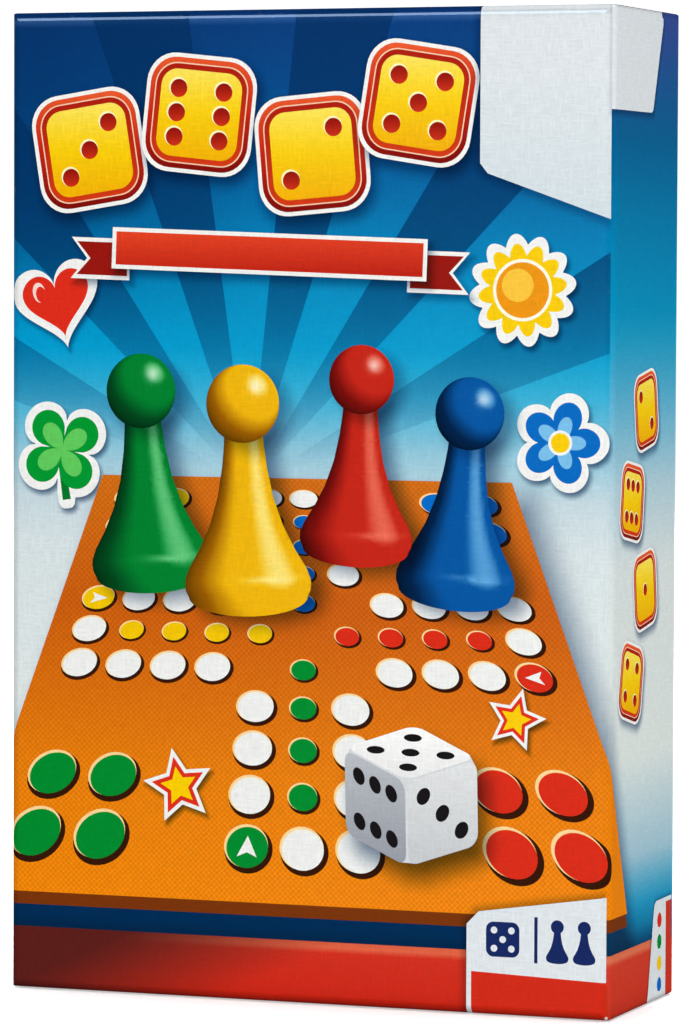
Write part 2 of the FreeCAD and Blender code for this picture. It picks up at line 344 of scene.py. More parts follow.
def die_mesh():
    """A rounded cube of six fine grids, dished at the pips; the attribute pip is 1 on a pip's rim."""
    core = DIE_HALF - DIE_ROUND
    edge = core + DIE_ROUND * np.tan(np.radians([9, 18, 27, 36, 45]))
    steps = np.concatenate([-edge[::-1], np.linspace(-core, core, 41), edge])
    count = len(steps)
    across, up = (grid.ravel() for grid in np.meshgrid(steps, steps))
    points, faces, pips = [], [], []
    for number, (out, right, top) in DIE_FACES.items():
        flat = out * DIE_HALF + np.outer(across, right) + np.outer(up, top)
        inner = np.clip(flat, -core, core)
        away = flat - inner
        spots = np.array(PIPS[number]) * PIP_SPREAD
        gaps = np.hypot(across[:, None] - spots[:, 0], up[:, None] - spots[:, 1])
        near = np.min(gaps, axis=1) / PIP_RADIUS
        sunk = PIP_DEPTH * np.clip(1 - near**2, 0, None)
        surface = inner + DIE_ROUND * away / np.linalg.norm(away, axis=1)[:, None] - np.outer(sunk, out)
        first = len(points)
        points.extend(surface * MM)
        pips.extend(near)
        for row in range(count - 1):
            for column in range(count - 1):
                at = first + row * count + column
                faces.append((at, at + 1, at + count + 1, at + count))
    mesh = new_mesh("die", points, faces)
    mesh.attributes.new("pip", "FLOAT", "POINT").data.foreach_set("value", pips)
    weld(mesh)
    return mesh


melamine = Recipe("die_plastic", {"IOR": 1.5, "Subsurface Weight": 0.1, "Subsurface Scale": 0.001})
pip = melamine.add("Attribute", attribute_name="pip").outputs["Fac"]
body = melamine.ramp(melamine.noise(220, 3), [(0.3, (226, 226, 221)), (0.7, (243, 243, 240))])
painted = melamine.ramp(pip, [(0.93, (255, 255, 255)), (0.97, (0, 0, 0))])
body = melamine.mix(painted, body, ink(22, 21, 22))
rough = melamine.range(melamine.noise(900, 3), 0.22, 0.36)
die_plastic = melamine.finish(base_color=body, roughness=rough)
low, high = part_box("die")
die = new_piece("die_smooth", die_mesh(), "die_body", die_plastic, (low + high) / 2)
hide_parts("die")
dress(nodes["die"], die_plastic)

# Rules leaflet: one sheet of offset paper, folded once and laid between the board and the inlay.
# Its front carries a plain frame and a small plan of the playing board.


class Layer:
    """One shape of a print: its outline and its paint, which is a colour or a function of points.

    shadow is (right, up, blur, strength) of the soft shadow that it casts on what is under it, weave
    says how much of a woven ground it shows, and grain is how closely the sheet follows its paint.
    """

    def __init__(self, outline, paint, shadow=None, weave=0.0, grain=None):
        run = np.asarray(outline, float)
        after = np.roll(run, -1, 0)
        area = np.sum(run[:, 0] * after[:, 1] - run[:, 1] * after[:, 0])
        self.outline = run if area > 0 else run[::-1]
        self.paint = paint if callable(paint) else flat(paint)
        self.shadow = shadow
        self.weave = weave
        self.grain = grain


def flat(colour):
    return lambda points: np.tile(np.array(colour, float), (len(points), 1))


def fade(stops):
    """Paint that changes upwards; stops are (height, colour)."""
    heights = [height for height, _ in stops]
    tones = np.array([colour for _, colour in stops], float).T
    return lambda points: np.stack([np.interp(points[:, 1], heights, tone) for tone in tones], 1)


def bar(left, foot, right, top):
    """A rectangle between two corners."""
    return np.array([[left, foot], [right, foot], [right, top], [left, top]])


def full_turn(count):
    return np.linspace(0, 2 * np.pi, count, endpoint=False)


def on_circle(turns):
    return np.stack([np.cos(turns), np.sin(turns)], 1)


def ring(radius, count=40):
    return on_circle(full_turn(count)) * radius


def rounded(width, height, radius, count=9):
    """A rounded rectangle about the origin."""
    corner = on_circle(np.linspace(0, np.pi / 2, count)) * radius
    run = []
    for quarter, (sx, sy) in enumerate([(1, 1), (-1, 1), (-1, -1), (1, -1)]):
        cos, sin = round(math.cos(quarter * math.pi / 2)), round(math.sin(quarter * math.pi / 2))
        middle = np.array([sx * (width / 2 - radius), sy * (height / 2 - radius)])
        run.append(middle + corner @ np.array([[cos, sin], [-sin, cos]]))
    return np.concatenate(run)


def turned(points, degrees):
    a = math.radians(degrees)
    return np.asarray(points, float) @ np.array([[math.cos(a), math.sin(a)], [-math.sin(a), math.cos(a)]])


def placed(points, u, v, degrees, scale=1.0):
    """Points turned and scaled about the origin, then moved to a place on the sheet."""
    return turned(points, degrees) * scale + [u, v]


def outside(outline, points):
    """How far points lie outside an outline, negative inside it."""
    nearest = np.full(len(points), np.inf)
    within = np.zeros(len(points), bool)
    for start, end in zip(outline, np.roll(outline, -1, 0)):
        way, off = end - start, points - start
        along = np.clip(off @ way / max(way @ way, 1e-12), 0, 1)
        nearest = np.minimum(nearest, np.hypot(*(off - along[:, None] * way).T))
        crosses = (start[1] > points[:, 1]) != (end[1] > points[:, 1])
        rise = way[1] if way[1] else 1.0
        within ^= crosses & (points[:, 0] < start[0] + off[:, 1] * way[0] / rise)
    return np.where(within, -nearest, nearest)


def in_steps(outline, step):
    """The outline with extra points, so that no edge is longer than a step."""
    run = []
    for start, end in zip(outline, np.roll(outline, -1, 0)):
        count = max(1, math.ceil(np.hypot(*(end - start)) / step))
        run.extend(start + (end - start) * share for share in np.arange(count) / count)
    return run


def grid_in(outline, spacing):
    low, high = outline.min(0), outline.max(0)
    across, up = (np.arange(a + spacing / 2, b, spacing) for a, b in zip(low, high))
    return np.stack(np.meshgrid(across, up), -1).reshape(-1, 2)


def halo(outline, blur):
    """Points beside an outline, close enough to follow a shadow that fades across it."""
    run = np.array(in_steps(outline, blur * 0.7))
    way = np.roll(run, -1, 0) - np.roll(run, 1, 0)
    side = np.stack([way[:, 1], -way[:, 0]], 1) / np.maximum(np.hypot(*way.T), 1e-9)[:, None]
    return np.concatenate([run + side * blur * share for share in (-0.95, -0.5, 0, 0.5, 0.95)])


def cut_apart(layers, spacing, folds):
    """The flat sheet cut along the outlines of its print: points, triangles, and each one's top layer."""
    points, faces, edges = [], [], []
    for layer in layers:
        outline = in_steps(layer.outline, spacing)
        faces.append(list(range(len(points), len(points) + len(outline))))
        points.extend(outline)
    for fold in folds:
        edges += [(at, at + 1) for at in range(len(points), len(points) + len(fold) - 1)]
        points.extend(fold)
    points.extend(grid_in(layers[0].outline, spacing))
    for layer in layers:
        if layer.grain:
            points.extend(grid_in(layer.outline, layer.grain))
        if layer.shadow:
            points.extend(halo(layer.outline + layer.shadow[:2], layer.shadow[2]))
    cut = delaunay_2d_cdt([Vector(p) for p in points], edges, faces, 1, 1e-5, True)
    spots = np.array([tuple(p) for p in cut[0]])
    kept = [(corners, max(over)) for corners, over in zip(cut[2], cut[5]) if 0 in over]
    return spots, np.array([corners for corners, _ in kept]), [top for _, top in kept]


SHADOW_TINT = np.array([1.0, 0.88, 0.72])


def inked(layers, at, top):
    """Screen colours at points of a print: the paint of each one's top layer, under the shadows."""
    colours = np.zeros((len(at), 3))
    for index, layer in enumerate(layers):
        mine = top == index
        colours[mine] = layer.paint(at[mine])
    for index, layer in enumerate(layers):
        if layer.shadow:
            du, dv, blur, strength = layer.shadow
            moved = layer.outline + [du, dv]
            near = np.all((at > moved.min(0) - blur) & (at < moved.max(0) + blur), axis=1) & (top < index)
            cover = np.clip(0.5 - outside(moved, at[near]) / (2 * blur), 0, 1)
            colours[near] *= 1 - strength * np.outer(cover * cover * (3 - 2 * cover), SHADOW_TINT)
    return colours


def printed_sheet(name, layers, lay, spacing, folds=()):
    """A printed face with its inks at the corners of its triangles.

    lay(points) gives the place of each point of the flat sheet, in millimetres, and how far it is bent.
    """
    spots, corners, top = cut_apart(layers, spacing, folds)
    top = np.repeat(top, 3)
    at = spots[corners.ravel()]
    rgba = np.column_stack([linear(inked(layers, at, top)), [layers[t].weave for t in top]])
    used, corners = np.unique(corners, return_inverse=True)
    solid, bent = lay(spots[used])
    mesh = new_mesh(name, solid * MM, corners.reshape(-1, 3))
    mesh.color_attributes.new("ink", "FLOAT_COLOR", "CORNER").data.foreach_set("color", rgba.ravel())
    mesh.uv_layers.new(name="sheet").data.foreach_set("uv", at.ravel())
    mesh.attributes.new("bent", "FLOAT", "POINT").data.foreach_set("value", bent)
    return mesh


WEAVE_PITCH = 1.15
WEAVE_DEPTHS = (0.1, 0.2, 0.3)
# Share of colour kept where the sheet is most bent: painted shade along its folds.
FOLD_PAINTED_SHADE = 0.75
BARE_FIBRE = (214, 216, 214)


def printed_paper(name, pitch, emboss, matt, tones):
    """Varnished paper in the inks of a sheet, whose alpha marks where the print shows a woven ground."""
    paper = Recipe(name, {"Specular IOR Level": 0.0, "Coat Weight": 1.0, "Coat Roughness": 0.07})
    print_node = paper.add("Attribute", attribute_name="ink")
    flat_place = paper.add("UVMap", uv_map="sheet").outputs[0]
    split = paper.add("SeparateXYZ", {"Vector": flat_place})
    weave = print_node.outputs["Alpha"]
    for axis in ("X", "Y"):
        angle = paper.sums("MULTIPLY", split.outputs[axis], 2 * math.pi / WEAVE_PITCH)
        weave = paper.sums("MULTIPLY", weave, paper.sums("SINE", angle))
    bent = paper.add("Attribute", attribute_name="bent").outputs["Fac"]
    threads = linen(paper, flat_place, pitch, (1, THREAD_STRETCH, 1))
    # Painted shade: the print is darker along the bends, so a fold lit from two sides is no brighter than
    # its faces.
    even = paper.sums("MULTIPLY", paper.range(threads, *tones), paper.range(bent, 1.0, FOLD_PAINTED_SHADE))
    even = paper.sums("MULTIPLY", even, paper.range(paper.noise(4, 3, flat_place), 0.95, 1.05))
    channels = []
    for depth in WEAVE_DEPTHS:
        woven = paper.sums("MULTIPLY_ADD", weave, depth, 1.0)
        channels.append(paper.sums("MULTIPLY", woven, even))
    tone = paper.add("CombineColor", dict(enumerate(channels))).outputs[0]
    colour = paper.mix(1.0, print_node.outputs["Color"], tone, "MULTIPLY")
    # Bare pale fibre shows where the sheet is worn on its sharpest bends.
    patchy = paper.range(paper.noise(0.35, 4, flat_place), -0.5, 0.3)
    paling = paper.sums("MULTIPLY", paper.sums("POWER", bent, 5.0), patchy)
    colour = paper.mix(paper.sums("MAXIMUM", paling, 0.0), colour, ink(*BARE_FIBRE))
    rough = paper.range(threads, matt - 0.06, matt + 0.12)
    return paper.finish(base_color=colour, roughness=rough, normal=paper.bump(threads, emboss, 0.00005))


YELLOW, RED, GREEN, BLUE = (242, 196, 4), (216, 42, 20), (0, 138, 46), (0, 104, 196)
PLAYERS = (GREEN, RED, BLUE, YELLOW)
WHITE, SPOT_SHADE, SPOT_LIGHT = (238, 239, 236), (52, 22, 8), (250, 214, 150)
SPOT_STEP = 0.168
SPOT_RADIUS = 0.063
GOAL_SPOT, YARD_SPOT = 0.72, 1.18
BORDER_STEP = 0.084
ARROW = np.array([[0, 0.035], [-0.03, -0.03], [0, -0.016], [0.03, -0.03]])


def ludo_plan(place, ground):
    """The traditional cross and circle on a square from -1 to 1 each way, drawn through place()."""
    def spot(i, j, colour, size=1.0):
        middle = np.array([i, j], float) * SPOT_STEP
        radius = SPOT_RADIUS * size
        return [
            Layer(place(ring(radius * 1.16) + middle + radius * np.array([0.07, -0.1])), SPOT_SHADE),
            Layer(place(ring(radius * 1.06) + middle + radius * np.array([-0.06, 0.08])), SPOT_LIGHT),
            Layer(place(ring(radius) + middle), colour),
        ]

    layers = [Layer(place(in_steps(bar(-1, -1, 1, 1), BORDER_STEP)), ground, weave=1.0)]
    for turn, colour in enumerate(PLAYERS):
        def spin(i, j):
            return tuple(np.round(turned([[i, j]], 90 * turn)[0], 3))

        for j in (-5, -4, -3, -2):
            layers += spot(*spin(-1, j), colour if j == -5 else WHITE)
            layers += spot(*spin(1, j), WHITE)
        layers += spot(*spin(0, -5), WHITE)
        for j in (-4, -3, -2, -1):
            layers += spot(*spin(0, j), colour, GOAL_SPOT)
        for i, j in ((-4.9, -4.9), (-3.7, -4.9), (-4.9, -3.7), (-3.7, -3.7)):
            layers += spot(*spin(i, j), colour, YARD_SPOT)
        start = np.array([-1, -5]) * SPOT_STEP
        layers.append(Layer(place(turned(ARROW + start, 90 * turn)), WHITE))
    return layers


def box_in_mm(node):
    return [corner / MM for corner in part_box(node)]


INK_LIFT = 0.02
PAGE, PAGE_FRAME, PAGE_PLAN = (239, 237, 230), (20, 84, 150), (226, 164, 70)
PAGE_MARGIN = np.array([0.8, 0.5])
FRAME_INSET, FRAME_LINE, FRAME_CORNER = 5.0, 1.0, 4.0
PLAN_HALF, PLAN_PLACE = 36.0, (0.5, 0.6)


def lay_flat(start, depth):
    """Lays a print flat on an upright face at a depth, from the lower corner where its sheet starts."""
    def lay(points):
        solid = np.array([start.x, depth, start.z]) + np.insert(np.abs(points), 1, 0, axis=1)
        return solid, np.zeros(len(points))

    return lay


offset = Recipe("leaflet_paper", {"Roughness": 0.8, "Specular IOR Level": 0.2})
pages = offset.ramp(offset.noise(60, 6), [(0.3, (232, 230, 222)), (0.7, (243, 242, 236))])
leaflet_paper = offset.finish(base_color=pages, normal=offset.bump(offset.noise(3000, 4), 0.1, 0.00005))
dress(nodes["rules_leaflet"], leaflet_paper)
low, high = box_in_mm("rules_leaflet")
page_size = np.array([high.x - low.x, high.z - low.z])


def page(margin, corner, count):
    """The outline of the page, less a margin all round."""
    return rounded(*(page_size - 2 * margin), corner, count) + page_size / 2


def on_page(points):
    return np.asarray(points) * PLAN_HALF + page_size * PLAN_PLACE


layers = [
    Layer(page(PAGE_MARGIN, 0.4, 2), PAGE),
    Layer(page(FRAME_INSET, FRAME_CORNER, 6), PAGE_FRAME),
    Layer(page(FRAME_INSET + FRAME_LINE, FRAME_CORNER, 6), PAGE),
]
layers += ludo_plan(on_page, PAGE_PLAN)
leaflet = printed_sheet("rules_leaflet_print", layers, lay_flat(low, low.y - INK_LIFT), spacing=4.0)
leaflet_ink = printed_paper("leaflet_print", pitch=0.3, emboss=0.05, matt=0.7, tones=(0.96, 1.03))
new_piece("rules_leaflet_print", leaflet, "leaflet", leaflet_ink)

# Playing board: two leaves of grey board under one printed sheet, whose crease is the hinge. A dark
# blue embossed paper lines the outside, and the sheet is varnished against small fingers.
BOARD_EDGE, BOARD_MIDDLE = (234, 136, 16), (196, 100, 18)
BOARD_MARGIN, SHEET_MARGIN = 6.0, 0.4
HOME = np.array([[0, 0], [-1, 1], [1, 1]]) * 0.085
lining = Recipe("board_lining", {"Specular IOR Level": 0.25})
threads = linen(lining, lining.place, THREAD_PITCH * MM)
shade = lining.ramp(lining.noise(300, 4), [(0.3, (12, 46, 98)), (0.7, (18, 58, 116))])
rough = lining.range(threads, 0.45, 0.65)
board_lining = lining.finish(base_color=shade, roughness=rough, normal=lining.bump(threads, 0.3, 0.00005))
orange = Recipe("playing_print", {"Specular IOR Level": 0.3, "Roughness": 0.45})
tone = orange.ramp(orange.noise(1200, 4), [(0.3, (222, 132, 20)), (0.7, (238, 150, 34))])
playing_print = orange.finish(base_color=tone, normal=orange.bump(orange.noise(4000, 2), 0.05, 0.00005))
for leaf in ("back_leaf", "front_leaf"):
    dress(nodes[leaf + "_core"], greyboard)
    dress(nodes[leaf + "_lining"], board_lining)
    dress(nodes[leaf + "_play_sheet"], playing_print)
dress(nodes["board_crease"], playing_print)
low, high = box_in_mm("back_leaf_play_sheet")
front_face = box_in_mm("front_leaf_play_sheet")[1].y
leaf_width, leaf_height = high.x - low.x, high.z - low.z


def board_ground(points):
    """Orange that darkens to brown towards the middle of the board."""
    away = np.hypot(points[:, 0], points[:, 1] - leaf_height / 2) / leaf_height
    dark, light = np.array([BOARD_MIDDLE, BOARD_EDGE])
    return dark + (light - dark) * np.clip(0.35 + 1.3 * away, 0, 1)[:, None]


def on_board(points):
    """Places of the plan on the open board, measured from the foot of its crease."""
    return np.asarray(points) * (leaf_height / 2 - BOARD_MARGIN) + [0, leaf_height / 2]


playing_ink = printed_paper("playing_print_ink", pitch=0.45, emboss=0.12, matt=0.42, tones=(0.86, 1.1))
plan = ludo_plan(on_board, board_ground)
for turn, colour in zip((180, 270, 0, 90), PLAYERS):
    plan.append(Layer(on_board(turned(HOME, turn)), colour))
leaves = [(1, "board_back_leaf", low.y - INK_LIFT), (-1, "board_front_leaf", front_face + INK_LIFT)]
for side, body, depth in leaves:
    near, far = SHEET_MARGIN * side, (leaf_width - SHEET_MARGIN) * side
    leaf = bar(near, SHEET_MARGIN, far, leaf_height - SHEET_MARGIN)
    layers = [Layer(leaf, board_ground, weave=1.0)] + plan
    sheet = printed_sheet(body + "_print", layers, lay_flat(low, depth), spacing=5.0)
    new_piece(body + "_print", sheet, body, playing_ink)

# Lid tray: the larger tray of the same grey board, die-cut, folded and taped like the base's. It slides
# down over the whole depth of the base, and only its inside and the cut of its rim are ever seen.
dress(nodes["lid_tray"], greyboard)

# Lid wrap: one linen-embossed sheet, printed in four colours and varnished. It covers the panel, goes
# round the edges onto the four walls, meets in a mitre at the corners and turns in over the rim.
low, high = box_in_mm("lid_wrap")
EDGE, CORNER, RIM = 1.8, 0.5, 0.8
WRAP_LIFT = 0.03
FOLD_STEP = 0.8
QUARTER = EDGE * math.pi / 2
HALF = high.x - EDGE
MIDDLE, TALL = (low.z + high.z) / 2, (high.z - low.z) / 2 - EDGE
WALL = high.y - low.y - EDGE - RIM
WIDE_END, TALL_END = HALF + QUARTER, TALL + QUARTER
REACH = WIDE_END + WALL
FOLD = HALF + QUARTER / 2
SIDE = WIDE_END - EDGE


def lay_wrap(points):
    """The flat sheet bent round the lid: panel, rounded edges with mitred corners, then four walls."""
    u, v = points[:, 0], points[:, 1] - MIDDLE
    past_u, past_v = np.clip(np.abs(u) - HALF, 0, None), np.clip(np.abs(v) - TALL, 0, None)
    bend_u, bend_v = np.minimum(past_u, QUARTER), np.minimum(past_v, QUARTER)
    turn = np.maximum(bend_u, bend_v) / EDGE
    out = EDGE + WRAP_LIFT
    draw = np.sinc(turn / np.pi) * out / EDGE
    across = np.minimum(np.abs(u), HALF) + bend_u * draw
    spot = np.stack([across, np.minimum(np.abs(v), TALL) + bend_v * draw], 1)
    middle = np.array([HALF, TALL]) + EDGE - CORNER
    reach = np.linalg.norm(spot - middle, axis=1) / (CORNER + WRAP_LIFT)
    cornered = np.all(spot > middle, axis=1) & (reach > 1)
    spot[cornered] = middle + (spot - middle)[cornered] / reach[cornered, None]
    y = low.y + EDGE - out * np.cos(turn) + past_u - bend_u + past_v - bend_v
    share = turn / (math.pi / 2)
    bent = np.where(cornered, 1.1, 4 * share * (1 - share))
    return np.stack([np.sign(u) * spot[:, 0], y, np.sign(v) * spot[:, 1] + MIDDLE], 1), bent


def lid_net():
    """The outline of the flat sheet, without its turn-in: the panel with its four walls."""
    quarter = np.array([[WIDE_END, TALL_END + WALL], [WIDE_END, TALL_END], [REACH, TALL_END]])
    right = np.concatenate([quarter, quarter[::-1] * [1, -1]])
    return np.concatenate([right, -right]) + [0, MIDDLE]


def lid_folds():
    """Lines along the rounded edges and corners, so that the sheet bends there in even steps."""
    lines = []
    for step in np.linspace(0, QUARTER, 7):
        for sign in (-1, 1):
            u, v = sign * (HALF + step), sign * (TALL + step)
            lines.append([[u, -TALL_END], [u, TALL_END]])
            lines.append([[-WIDE_END, v], [WIDE_END, v]])
    for sx, sy in CORNERS:
        lines.append([[sx * HALF, sy * TALL], [sx * WIDE_END, sy * TALL_END]])
        for share in (0, 0.33, 0.67):
            step = QUARTER - CORNER * math.pi / 2 * (1 - share)
            u, v = sx * (HALF + step), sy * (TALL + step)
            lines.append([[sx * WIDE_END, v], [sx * REACH, v]])
            lines.append([[u, sy * TALL_END], [u, sy * (TALL_END + WALL)]])
    folds = []
    for start, end in np.array(lines):
        steps = 1 + round(np.linalg.norm(end - start) / FOLD_STEP)
        folds.append(start + (end - start) * np.linspace(0, 1, steps + 1)[:, None] + [0, MIDDLE])
    return folds


OVERLAP = 2.0
PRINT_TOP = BOX_HEIGHT + OVERLAP
BAND = [
    (0, (190, 32, 16)),
    (4, (206, 40, 22)),
    (10.6, (208, 46, 28)),
    (11.6, (224, 100, 68)),
    (13, (214, 92, 60)),
]
BAND_TOP = 12.8
BAND_SHADE = (92, 30, 26)
SIDE_GROUND = [
    (12.6, (0, 96, 140)),
    (21, (32, 150, 193)),
    (31, (160, 197, 213)),
    (51, (223, 231, 227)),
    (89, (219, 227, 226)),
    (105, (178, 208, 219)),
    (122, (92, 176, 208)),
    (140, (0, 145, 190)),
    (158, (0, 123, 171)),
    (174, (2, 97, 147)),
    (197, (50, 75, 145)),
]
TOP_RIM = [(198.0, (46, 74, 144)), (198.5, (8, 58, 122))]
DEEP_SKY, RAY, PAINTED_GLOW_SKY = (2, 44, 92), (0, 44, 92), (150, 166, 214)
DEEP_SHARE, RAY_SHARE, PAINTED_GLOW_SHARE = 0.54, 0.62, 0.26
dress(nodes["lid_wrap"], faded_wrap("cover_print", BAND[:3] + SIDE_GROUND + TOP_RIM))


def between(values, start, end):
    """How far values are on the way from a start to an end, from 0 to 1."""
    return np.clip((values - start) / (end - start), 0, 1)


def band(points):
    """The red band along the foot, lighter at its top and brown where the drawn board shades it."""
    u, v = points.T
    front = np.clip((u + 52) / 46 - (v - 6) / 22, 0, 1)
    right_wall, left_wall = between(u, HALF, HALF + 1), between(-u, SIDE + 6, SIDE + 36)
    lit = np.clip(np.maximum(front + right_wall, left_wall), 0, 1)[:, None]
    colour = fade(BAND)(points) + np.outer(u > FOLD, (0, 16, 14))
    return np.array(BAND_SHADE) * (1 - lit) + colour * lit


def sky(points):
    """The fading ground, deeper towards the upper left, with a pale painted highlight glow just under the
    top edge.
    """
    u, v = points.T
    depth = DEEP_SHARE * between(-u, 8, 58) * between(v, 135, 165)
    colour = fade(GROUND)(points) * (1 - depth)[:, None] + np.outer(depth, DEEP_SKY)
    # Painted highlight: a soft pale glow across the sky just under the rounded top edge.
    paling = PAINTED_GLOW_SHARE * np.clip(1 - np.abs(v - 198.1) / 1.1, 0, 1)
    return colour * (1 - paling)[:, None] + np.outer(paling, PAINTED_GLOW_SKY)


def ray(points):
    """A darker ray of the sky, gone where the sky turns pale."""
    colour = sky(points)
    depth = RAY_SHARE * between(points[:, 1], 108, 152)[:, None]
    return colour * (1 - depth) + np.array(RAY) * depth


def upward(middle, reach, *tones):
    """Paint that changes evenly from a reach below the middle to a reach above it."""
    return fade(list(zip(np.linspace(middle - reach, middle + reach, len(tones)), tones)))


TILE_RIM = ((120, 12, 10), (196, 34, 16), (236, 92, 44))
TILE_BEVEL = ((214, 60, 20), (168, 26, 14))
TILE_FACE = ((240, 168, 0), (250, 206, 10), (255, 236, 120))
TILE_PIP = ((206, 48, 22), (140, 16, 10))
PIP_SIZE, PIP_PLACE = 0.09, 0.24


def tile(u, v, degrees, size, number):
    """A yellow playing tile with a red bevelled rim, white outline and pips."""
    def shaped(side, radius):
        return placed(rounded(side, side, radius), u, v, degrees, size)

    reach = size * 0.6
    layers = [
        Layer(shaped(1.17, 0.3), (244, 243, 238), (size * 0.04, -size * 0.07, size * 0.12, 0.62)),
        Layer(shaped(1.09, 0.27), upward(v, reach, *TILE_RIM), grain=size / 14),
        Layer(shaped(0.99, 0.23), (250, 206, 170)),
        Layer(shaped(0.965, 0.22), upward(v, reach, *TILE_BEVEL)),
        Layer(shaped(0.86, 0.17), upward(v, reach, *TILE_FACE), grain=size / 14),
    ]
    for pip in PIPS[number]:
        middle = placed([pip], u, v, degrees, size * PIP_PLACE)[0]
        lit = ring(0.098, 28) + [-0.008, 0.012]
        layers.append(Layer(lit * size + middle, (255, 246, 190)))
        dip = upward(middle[1], size * PIP_SIZE, *TILE_PIP)
        layers.append(Layer(ring(size * PIP_SIZE, 28) + middle, dip))
    return layers


PAWN_UP = [0.0, 0.03, 0.07, 0.12, 0.2, 0.3, 0.42, 0.55, 0.66, 0.72]
PAWN_WIDE = [0.27, 0.285, 0.285, 0.265, 0.215, 0.165, 0.125, 0.1, 0.088, 0.088]
HEAD_PLACE, HEAD_SIZE = np.array([0, 0.81]), 0.165
GLINT = np.array([255, 255, 250])


def pawn_shape():
    """Body and head of a pawn seen from the side and a little from above, in shares of its height."""
    up = np.linspace(0, PAWN_UP[-1], 30)
    wide = np.interp(up, PAWN_UP, PAWN_WIDE)
    turns = np.linspace(np.pi, 2 * np.pi, 18)[1:-1]
    foot = np.stack([PAWN_WIDE[0] * np.cos(turns), 0.085 * np.sin(turns)], 1)
    body = np.concatenate([np.stack([wide, up], 1), np.stack([-wide, up], 1)[::-1], foot])
    return body, ring(HEAD_SIZE) + HEAD_PLACE


def bell(offset, width):
    return np.exp(-((offset / width) ** 2))


def drawn_pawn(u, v, height, degrees, tones):
    """A large pawn, shaded as if lit from the right."""
    deep, full, bright = (np.array(tone, float) for tone in tones)
    body, head = pawn_shape()

    def local(points):
        return turned(points - [u, v], -degrees) / height

    def shaded(light):
        steps = [-0.6, 0.15, 0.62, 0.93, 1.0]
        tones = np.array([deep * 0.55, deep, full, full, full + (bright - full) * 0.8])
        return np.stack([np.interp(light, steps, tones[:, c]) for c in range(3)], 1)

    def body_paint(points):
        p, q = local(points).T
        across = np.clip(p / np.interp(q, PAWN_UP, PAWN_WIDE), -1, 1)
        depth = np.sqrt(1 - across**2)
        colour = shaded(0.52 * across + 0.85 * depth - 0.25 * np.clip(0.06 - q, 0, 1) / 0.14)
        rim = bell(q - 0.095 + 0.03 * depth, 0.012) * bell(across - 0.35, 0.42)
        return colour + (bright - colour) * (0.75 * rim)[:, None]

    def head_paint(points):
        p, q = (local(points) - HEAD_PLACE).T / HEAD_SIZE
        depth = np.sqrt(np.clip(1 - p**2 - q**2, 0, 1))
        colour = shaded(0.45 * p + 0.5 * q + 0.74 * depth)
        glint = bell(np.hypot(p - 0.36, q - 0.42), 0.187)
        return colour + (GLINT - colour) * (0.6 * glint)[:, None]

    def put(points):
        return placed(points, u, v, degrees, height)

    body_shadow = (height * 0.06, -height * 0.03, height * 0.07, 0.5)
    head_shadow = (height * 0.05, -height * 0.04, height * 0.06, 0.4)
    return [
        Layer(put(body), body_paint, body_shadow, grain=height / 48),
        Layer(put(head), head_paint, head_shadow, grain=height / 100),
    ]


def drawn_die(u, v, size):
    """A white die seen over its nearest edge: top, left and right faces."""
    tip = np.array([u, v])
    right, left, down = np.array([[0.8, 0.27], [-0.7, 0.33], [0.02, -0.92]]) * size
    faces = [
        ((left, right), 5, (252, 252, 250), (232, 233, 232)),
        ((down, right), 3, (226, 228, 228), (198, 201, 204)),
        ((down, left), 6, (186, 190, 196), (150, 155, 164)),
    ]
    layers = []
    for (a, b), number, near, far in faces:
        def lie(points, a=a, b=b):
            share = np.asarray(points, float) + 0.5
            return tip + share[:, :1] * a + share[:, 1:] * b

        body = lie(rounded(0.97, 0.97, 0.14))
        ramp = fade([(body[:, 1].min(), far), (body[:, 1].max(), near)])
        layers.append(Layer(body, ramp, grain=size / 12))
        for i, j in PIPS[number]:
            layers.append(Layer(lie(ring(0.095, 24) + np.array([i, j]) * 0.26), (24, 22, 24)))
    bulk = np.concatenate([layer.outline for layer in layers])
    hull = bulk[convex_hull_2d([Vector(p) for p in bulk])]
    return [Layer(hull, (214, 217, 220), shadow=(size * 0.1, -size * 0.16, size * 0.2, 0.6))] + layers


STICKER_EDGE, SCARLET, SUNNY = (240, 241, 238), (222, 44, 26), (250, 205, 0)


def sticker(u, v, degrees, size, shape, parts):
    """A white-edged sticker with a thin shadow; parts are (outline, colour) in shares of its size."""
    layers = [Layer(placed(shape, u, v, degrees, size), STICKER_EDGE, (0.5, -0.8, 0.9, 0.6))]
    return layers + [Layer(placed(outline, u, v, degrees, size), colour) for outline, colour in parts]


def polar(radius):
    """The outline whose radius is a function of its angle."""
    turns = full_turn(120)
    return on_circle(turns) * radius(turns)[:, None]


def heart(scale):
    """The heart curve about the middle of the sticker."""
    turns = full_turn(72)
    wide = np.sin(turns) ** 3
    tall = (13 * np.cos(turns) - 5 * np.cos(2 * turns) - 2 * np.cos(3 * turns) - np.cos(4 * turns)) / 16
    return np.stack([wide, tall + 0.1], 1)[::-1] * scale - np.array([0, 0.1]) * (scale - 0.8)


def wavy(count, mean, swing, power=1.0, phase=0.0):
    """Radius of a flower's edge, with a number of petals."""
    return lambda turns: mean + swing * np.abs(np.cos(count * (turns - phase) / 2)) ** power


def petals(*shape):
    return polar(wavy(*shape))


def clover_edge(turns):
    """Radius of the clover sticker's edge: four leaves, and a bump round the stem."""
    leaves = wavy(4, 0.62, 0.5, 0.6, math.pi / 4)(turns)
    return np.maximum(leaves, 1.26 * np.exp(-(((turns - 4.99) / 0.3) ** 4)))
